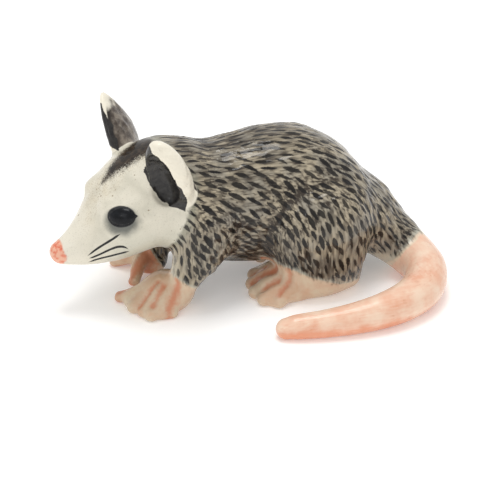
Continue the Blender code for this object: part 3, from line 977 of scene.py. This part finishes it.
class Term:
    """A number, colour or place that a material works out, to be used in sums."""

    def __init__(self, tree, socket):
        self.tree = tree
        self.socket = socket

    def math(self, operation, *others):
        node = new_node(self.tree, "ShaderNodeMath", operation=operation)
        for place, value in zip(node.inputs, (self, *others)):
            feed(self.tree, place, value)
        return Term(self.tree, node.outputs[0])

    def __add__(self, other):
        return self.math("ADD", other)

    def __sub__(self, other):
        return self.math("SUBTRACT", other)

    def __mul__(self, other):
        return self.math("MULTIPLY", other)

    def size(self):
        return self.math("ABSOLUTE")

    def step(self, start, end):
        """Zero at the start and before, one at the end and past it, and a soft rise between."""
        node = new_node(self.tree, "ShaderNodeMapRange", interpolation_type="SMOOTHSTEP")
        for place, value in zip(node.inputs, (self, start, end)):
            feed(self.tree, place, value)
        return Term(self.tree, node.outputs[0])


def new_node(tree, kind, **settings):
    node = tree.nodes.new(kind)
    for name, value in settings.items():
        setattr(node, name, value)
    return node


def feed(tree, place, value):
    """Links a term to a socket, or sets the socket to a plain value."""
    if isinstance(value, Term):
        tree.links.new(value.socket, place)
    else:
        place.default_value = value


def set_sockets(node, values):
    for name, value in values.items():
        node.inputs[name].default_value = value


def colour(red, green, blue):
    """The colour, from its numbers on a screen."""
    shares = [part / 255 for part in (red, green, blue)]
    linear = [s / 12.92 if s < 0.04045 else ((s + 0.055) / 1.055) ** 2.4 for s in shares]
    return (*linear, 1.0)


def mix(share, first, second):
    """The first paint where the share is zero, and the second where it is one."""
    node = new_node(share.tree, "ShaderNodeMix", data_type="RGBA")
    feed(share.tree, node.inputs[0], share)
    for place, paint in ((node.inputs[6], first), (node.inputs[7], second)):
        feed(share.tree, place, paint if isinstance(paint, Term) else colour(*paint))
    return Term(share.tree, node.outputs[2])


def place_in(tree, origin=(0.0, 0.0, 0.0), turn=0.0):
    """Places in millimetres in a frame of the finished scene that is turned about its Z."""
    coordinates = new_node(tree, "ShaderNodeTexCoord")
    mapping = new_node(tree, "ShaderNodeMapping", vector_type="TEXTURE")
    rotation = (0.0, 0.0, math.radians(turn))
    set_sockets(mapping, {"Location": origin, "Rotation": rotation, "Scale": (MM, MM, MM)})
    tree.links.new(coordinates.outputs["Object"], mapping.inputs["Vector"])
    return Term(tree, mapping.outputs["Vector"])


def place_in_head(tree):
    return place_in(tree, (NOSE - MIDDLE) * MM, HEAD_TURN)


def parts_of(place):
    node = new_node(place.tree, "ShaderNodeSeparateXYZ")
    feed(place.tree, node.inputs[0], place)
    return [Term(place.tree, output) for output in node.outputs]


def field(place, name):
    """The number that the mesh keeps for each point under the name."""
    node = new_node(place.tree, "ShaderNodeAttribute", attribute_name=name)
    return Term(place.tree, node.outputs["Fac"])


def noise(place, scale, detail=3.0):
    """Cloudy noise about zero, with a middle swing of about a fifth."""
    node = new_node(place.tree, "ShaderNodeTexNoise")
    feed(place.tree, node.inputs["Vector"], place)
    set_sockets(node, {"Scale": scale, "Detail": detail, "Roughness": 0.55})
    return Term(place.tree, node.outputs["Fac"]) - 0.5


def clouds(place, scale, start, end, detail=3.0):
    """Noise as a share, which rises from zero at the start to one at the end."""
    return noise(place, scale, detail).step(start, end)


def new_paint(name):
    """A material, its tree and its shader."""
    material = bpy.data.materials.new(name)
    material.use_nodes = True
    return material, material.node_tree, material.node_tree.nodes["Principled BSDF"]


def face_paint(place):
    """Cream, with faint grey clouds, painted shade low on the cheek and jaw, and brushed specks and
    dots.
    """
    x, y, z = parts_of(place)
    cream = mix(clouds(place, 0.35, -0.1, 0.25), *FACE_CREAMS)
    cream = mix(x.step(6.0, 1.0), cream, MUZZLE_CREAM)
    # Painted shade low on the cheek and jaw, under the head
    jaw_shade = z.step(7.0, 0.0) * x.step(4.0, 9.0)
    cream = mix(jaw_shade * 0.8, cream, JAW_SHADE_CREAM)
    specks = clouds(place, 3.2, 0.15, 0.3, 1.0) + clouds(place, 7.0, 0.1, 0.3, 0.0) * 0.6
    cream = mix(specks * 0.4, cream, FACE_SPECK)
    dots = clouds(place, 1.9, 0.31, 0.34, 0.0) * (x + z * 0.2).step(2.0, 3.0)
    cream = mix(dots * 0.7, cream, FACE_DOT)
    brow = y.size().step(4.0, 1.5) * x.step(1.5, 6.0)
    cream = mix(brow * clouds(place, 0.4, -0.15, 0.2) * 0.4, cream, BROW_OCHRE)
    stipple = clouds(place, 5.0, 0.06, 0.26, 0.0) * brow
    return mix(stipple * 0.4, cream, BROW_STIPPLE)


def stripe_paint(place, rest):
    """The forehead's dark brown stripe, with a stippled edge."""
    edge = field(place, "stripe") + noise(place, 0.9) * 1.2 + noise(place, 6.0, 1.0) * 2.4
    brown = mix(clouds(place, 1.1, -0.15, 0.25), *STRIPE_BROWNS)
    return mix(edge.step(-0.8, 0.6), rest, brown)


def from_eye(x, side, z, way):
    """The distance along a way from the middle of the eye on the same side."""
    return (x - EYE.x) * way.x - (side + EYE.y) * way.y + (z - EYE.z) * way.z


def eye_paint(place, rest):
    """The grey halo round each eye, and the black rim of its lens with its drawn-out corner."""
    x, y, z = parts_of(place)
    side = y.size()
    near = side.step(2.0, 4.0)
    along = from_eye(x, side, z, EYE_LONG_WAY)
    up = from_eye(x, side, z, EYE_UP_WAY)
    out = (along * along * EYE_RIM[0] + up * up * EYE_RIM[1]).math("SQRT")
    halo = (out + up * 0.2 + noise(place, 0.8) * 0.4).step(1.36, 0.75)
    found = mix(halo * near * 0.85, rest, HALO_GREY)
    corner = (up.size() + along * 0.9).step(2.18, 2.06) * along.step(1.1, 1.4)
    rim = (out + noise(place, 1.5) * 0.08).step(0.96, 0.88).math("MAXIMUM", corner)
    return mix(rim * near, found, RIM_BLACK)


def whisker_paint(place, rest):
    """The fine black lines on each cheek."""
    x, y, z = parts_of(place)
    for start, end, height, (rise, bend, twist) in WHISKERS:
        run = x - start
        line = ((run * twist + bend) * run + rise) * run + height
        thick = x.step(start - 0.2, start + 0.8) * x.step(end + 0.2, end - 1.0)
        off = (z - line).size() * 0.7 + noise(place, 1.3) * 0.06 + 0.06 - thick * 0.2
        rest = mix(off.step(0.03, -0.03) * y.size().step(0.5, 1.0), rest, WHISKER_BLACK)
    return rest


def nose_paint(place, rest):
    """Mottled orange over the tip of the nose."""
    x, _, z = parts_of(place)
    edge = x + noise(place, 0.9) * 0.8 + z.size() * 0.2
    mottled = mix(clouds(place, 1.5, -0.1, 0.16), *NOSE_PINKS)
    return mix(edge.step(0.8, 0.45) * 0.95, rest, mottled)


def coat_paint(place):
    """Beige and grey-brown streaks, darkened by painted shade, under dark leaf-shaped strokes."""
    shade = field(place, "shade")
    stroke = field(place, "stroke")
    # The ground darkens with the painted shade under the belly and in the creases, and with the
    # darker paint along the back
    ground = field(place, "streak") * 0.25 + shade * 0.5 + noise(place, 0.5) * 0.6
    ground = ground + stroke.step(0.45, 0.0) * 0.12 + 0.45
    pale = mix(clouds(place, 0.3, -0.1, 0.15), *COAT_BEIGES)
    found = mix(ground.step(0.0, 1.15), pale, COAT_BROWN)
    by_face = field(place, "face").step(-2.8, -0.2)
    found = mix(by_face * 0.7, found, COAT_BORDER)
    found = mix(shade.step(-0.25, -0.8) * 0.85, found, COAT_PALE)
    edge = stroke + noise(place, 2.6, 2.0) * 0.24
    dark = edge.step(0.07, -0.07) * field(place, "ink") * shade.step(-0.8, -0.3)
    return mix(dark, found, STROKE_BLACK)


def tail_paint(place, cloud):
    """Peach and pink, orange low down and towards the tip, with a cream ring at the coat."""
    x, y, z = parts_of(place)
    peach = mix(cloud.step(-0.35, 0.5), *TAIL_PEACHES)
    low = z.step(-6.6, -8.2) * 0.4 + x.step(31.0, 26.0) * y.step(-14.0, -17.0) * 0.25
    tint = noise(place, 0.22) * 1.3 + low + field(place, "streak") * 0.03
    peach = mix(tint.step(0.05, 0.55) * 0.65, peach, TAIL_ORANGE)
    ring = field(place, "on_tail") + noise(place, 0.6) * 0.6
    return mix(ring.step(0.7, 0.3) * 0.7, peach, TAIL_CREAM)


def foot_paint(place, cloud):
    """Cream and peach, with orange strokes between the toes."""
    foot = mix(cloud.step(-0.4, 0.4), *FOOT_PEACHES)
    line = field(place, "orange") + noise(place, 1.2) * 0.8 + field(place, "streak") * 0.08
    return mix(line.step(0.45, -0.35) * 0.65, foot, TOE_ORANGE)


def bare_paint(place):
    """The feet's and the tail's paint."""
    cloud = noise(place, 0.35) * 1.4 + field(place, "streak") * 0.04
    on_tail = field(place, "on_tail").step(-0.2, 0.2)
    return mix(on_tail, foot_paint(place, cloud), tail_paint(place, cloud))


def ear_paint(place, rest):
    """Cream rims, black linings and mottled brown backs."""
    back = field(place, "ear_back") + noise(place, 0.8) * 0.3
    on_ear = field(place, "ear_over_head").step(0.0, 0.25) * field(place, "ear").step(0.9, 0.6)
    found = mix(on_ear, rest, EAR_CREAM)
    mottled = mix(clouds(place, 0.9, -0.15, 0.2), *EAR_BROWNS)
    mottled = mix(back.step(0.5, 0.2), mottled, EAR_DARK)
    under_tip = (field(place, "ear_tip") + noise(place, 0.7) * 0.5).step(0.75, 0.5)
    found = mix(back.step(-0.05, 0.1) * under_tip * on_ear, found, mottled)
    lining = field(place, "lining") + noise(place, 0.6) * 0.7 + noise(place, 1.6) * 0.3
    black = mix(clouds(place, 1.5, -0.2, 0.25), *LINING_BLACKS)
    return mix(lining.step(-0.06, 0.04), found, black)


def glaze_relief(place):
    """The glaze's unevenness and the engraved strokes, as heights in millimetres."""
    strokes = (field(place, "stroke") + noise(place, 2.6, 2.0) * 0.2).step(0.1, -0.15)
    coat = field(place, "streak") * 0.012 - strokes * 0.05 + noise(place, 1.6) * 0.06
    coat = coat * field(place, "fur").step(0.0, 0.6)
    return coat + noise(place, 0.9, 2.0) * 0.05 + noise(place, 5.0, 1.0) * 0.006


def skin_glaze():
    """Every paint in its place, under one clear glaze."""
    material, tree, shader = new_paint("painted_glaze")
    place = place_in_head(tree)
    face = stripe_paint(place, face_paint(place))
    face = whisker_paint(place, eye_paint(place, face))
    face = nose_paint(place, face)
    bare = field(place, "bare") + noise(place, 0.9) * 0.5
    found = mix(bare.step(-0.15, 0.15), face, bare_paint(place))
    fur = field(place, "fur") + noise(place, 0.7) * 1.2 + field(place, "streak") * 0.15
    found = mix(fur.step(-0.6, 0.7), found, coat_paint(place))
    feed(tree, shader.inputs["Base Color"], ear_paint(place, found))
    feed(tree, shader.inputs["Roughness"], noise(place, 1.5) * 0.25 + 0.3)
    set_sockets(shader, SKIN_SHINE)
    bump = new_node(tree, "ShaderNodeBump")
    set_sockets(bump, {"Strength": 1.0, "Distance": MM})
    feed(tree, bump.inputs["Height"], glaze_relief(place))
    tree.links.new(bump.outputs["Normal"], shader.inputs["Normal"])
    return material


def eye_glaze():
    """Black glaze, clouded with a little blue."""
    material, tree, shader = new_paint("black_eye_glaze")
    cloud = clouds(place_in_head(tree), 1.2, -0.2, 0.3)
    feed(tree, shader.inputs["Base Color"], mix(cloud, *LENS_BLACKS))
    set_sockets(shader, EYE_SHINE)
    return material


def floor_paint():
    """White, with hardly visible clouds, and glowing faintly, which lightens the shadows on it."""
    material, tree, shader = new_paint("pale_floor")
    cloud = clouds(place_in(tree), 0.01, -0.3, 0.3)
    feed(tree, shader.inputs["Base Color"], mix(cloud, *FLOOR_WHITES))
    set_sockets(shader, FLOOR_SHINE_AND_GLOW)
    return material


def add_shape(name, shape, material):
    """An object of a bmesh, in one material."""
    mesh = bpy.data.meshes.new(name)
    shape.to_mesh(mesh)
    mesh.materials.append(material)
    return add_object(name, mesh)


def make_skin():
    clay = sculpt()
    skin = raw_skin(clay)
    paint_fields(skin.data, clay)
    skin.data.materials.append(skin_glaze())
    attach(skin, "root")
    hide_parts(*(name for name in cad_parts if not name.startswith("eye")))


def eye_lens():
    """The left eye's lens, in the head's frame."""
    long_way = EYE_LONG_WAY.normalized()
    out = (EYE_FACES - long_way * EYE_FACES.dot(long_way)).normalized()
    turn = Matrix((long_way, out.cross(long_way), out)).transposed().to_4x4()
    lens = egg((0, 0, 0), EYE_RADII)
    lens.transform(Matrix.Translation(EYE - out * EYE_SUNK) @ turn)
    return lens


def make_eyes():
    glaze = eye_glaze()
    for side in ("left", "right"):
        lens = eye_lens()
        if side == "right":
            lens.transform(Matrix.Diagonal((1, -1, 1, 1)))
            bmesh.ops.reverse_faces(lens, faces=lens.faces)
        lens.transform(Matrix.Scale(MM, 4) @ Matrix.Translation(-MIDDLE) @ head_place())
        eye = add_shape("glossy_eye_" + side, lens, glaze)
        eye.data.shade_smooth()
        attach(eye, "root")
        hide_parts("eye_" + side)


def make_floor():
    grid = bmesh.new()
    bmesh.ops.create_grid(grid, x_segments=1, y_segments=1, size=FLOOR_HALF)
    add_shape("pale_floor", grid, floor_paint())


def make_lamp(name, place, width, power):
    """A square soft lamp that shines at the figure."""
    light = bpy.data.lights.new(name, "AREA")
    light.size = width
    light.energy = power
    lamp = add_object(name, light)
    lamp.location = place
    lamp.rotation_euler = Vector(place).to_track_quat("Z", "Y").to_euler()


def make_studio():
    make_floor()
    for name, (place, width, power) in LAMPS.items():
        make_lamp(name, place, width, power)
    world = bpy.data.worlds.new("bright_room")
    world.use_nodes = True
    room = {"Color": (1.0, 1.0, 1.0, 1.0), "Strength": ROOM_LIGHT}
    set_sockets(world.node_tree.nodes["Background"], room)
    bpy.context.scene.world = world
    bpy.context.scene.view_settings.view_transform = "Standard"


def make_camera():
    turn, rise = math.radians(CAMERA_TURN), math.radians(CAMERA_RISE)
    back = Vector((math.sin(turn) * math.cos(rise), -math.cos(turn) * math.cos(rise), math.sin(rise)))
    data = bpy.data.cameras.new("camera")
    data.lens = CAMERA_LENS
    data.clip_start, data.clip_end = CAMERA_CLIP
    camera = add_object("camera", data)
    camera.location = (CAMERA_TARGET + back * CAMERA_AWAY - MIDDLE) * MM
    camera.rotation_euler = back.to_track_quat("Z", "Y").to_euler()
    bpy.context.scene.camera = camera


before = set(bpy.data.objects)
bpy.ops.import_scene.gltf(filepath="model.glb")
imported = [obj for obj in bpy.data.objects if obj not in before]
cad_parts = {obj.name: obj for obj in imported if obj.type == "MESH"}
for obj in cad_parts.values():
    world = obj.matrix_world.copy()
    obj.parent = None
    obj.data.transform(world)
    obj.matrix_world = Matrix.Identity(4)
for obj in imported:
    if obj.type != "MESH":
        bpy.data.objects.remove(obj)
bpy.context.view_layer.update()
make_camera()
make_studio()
make_eyes()
make_skin()
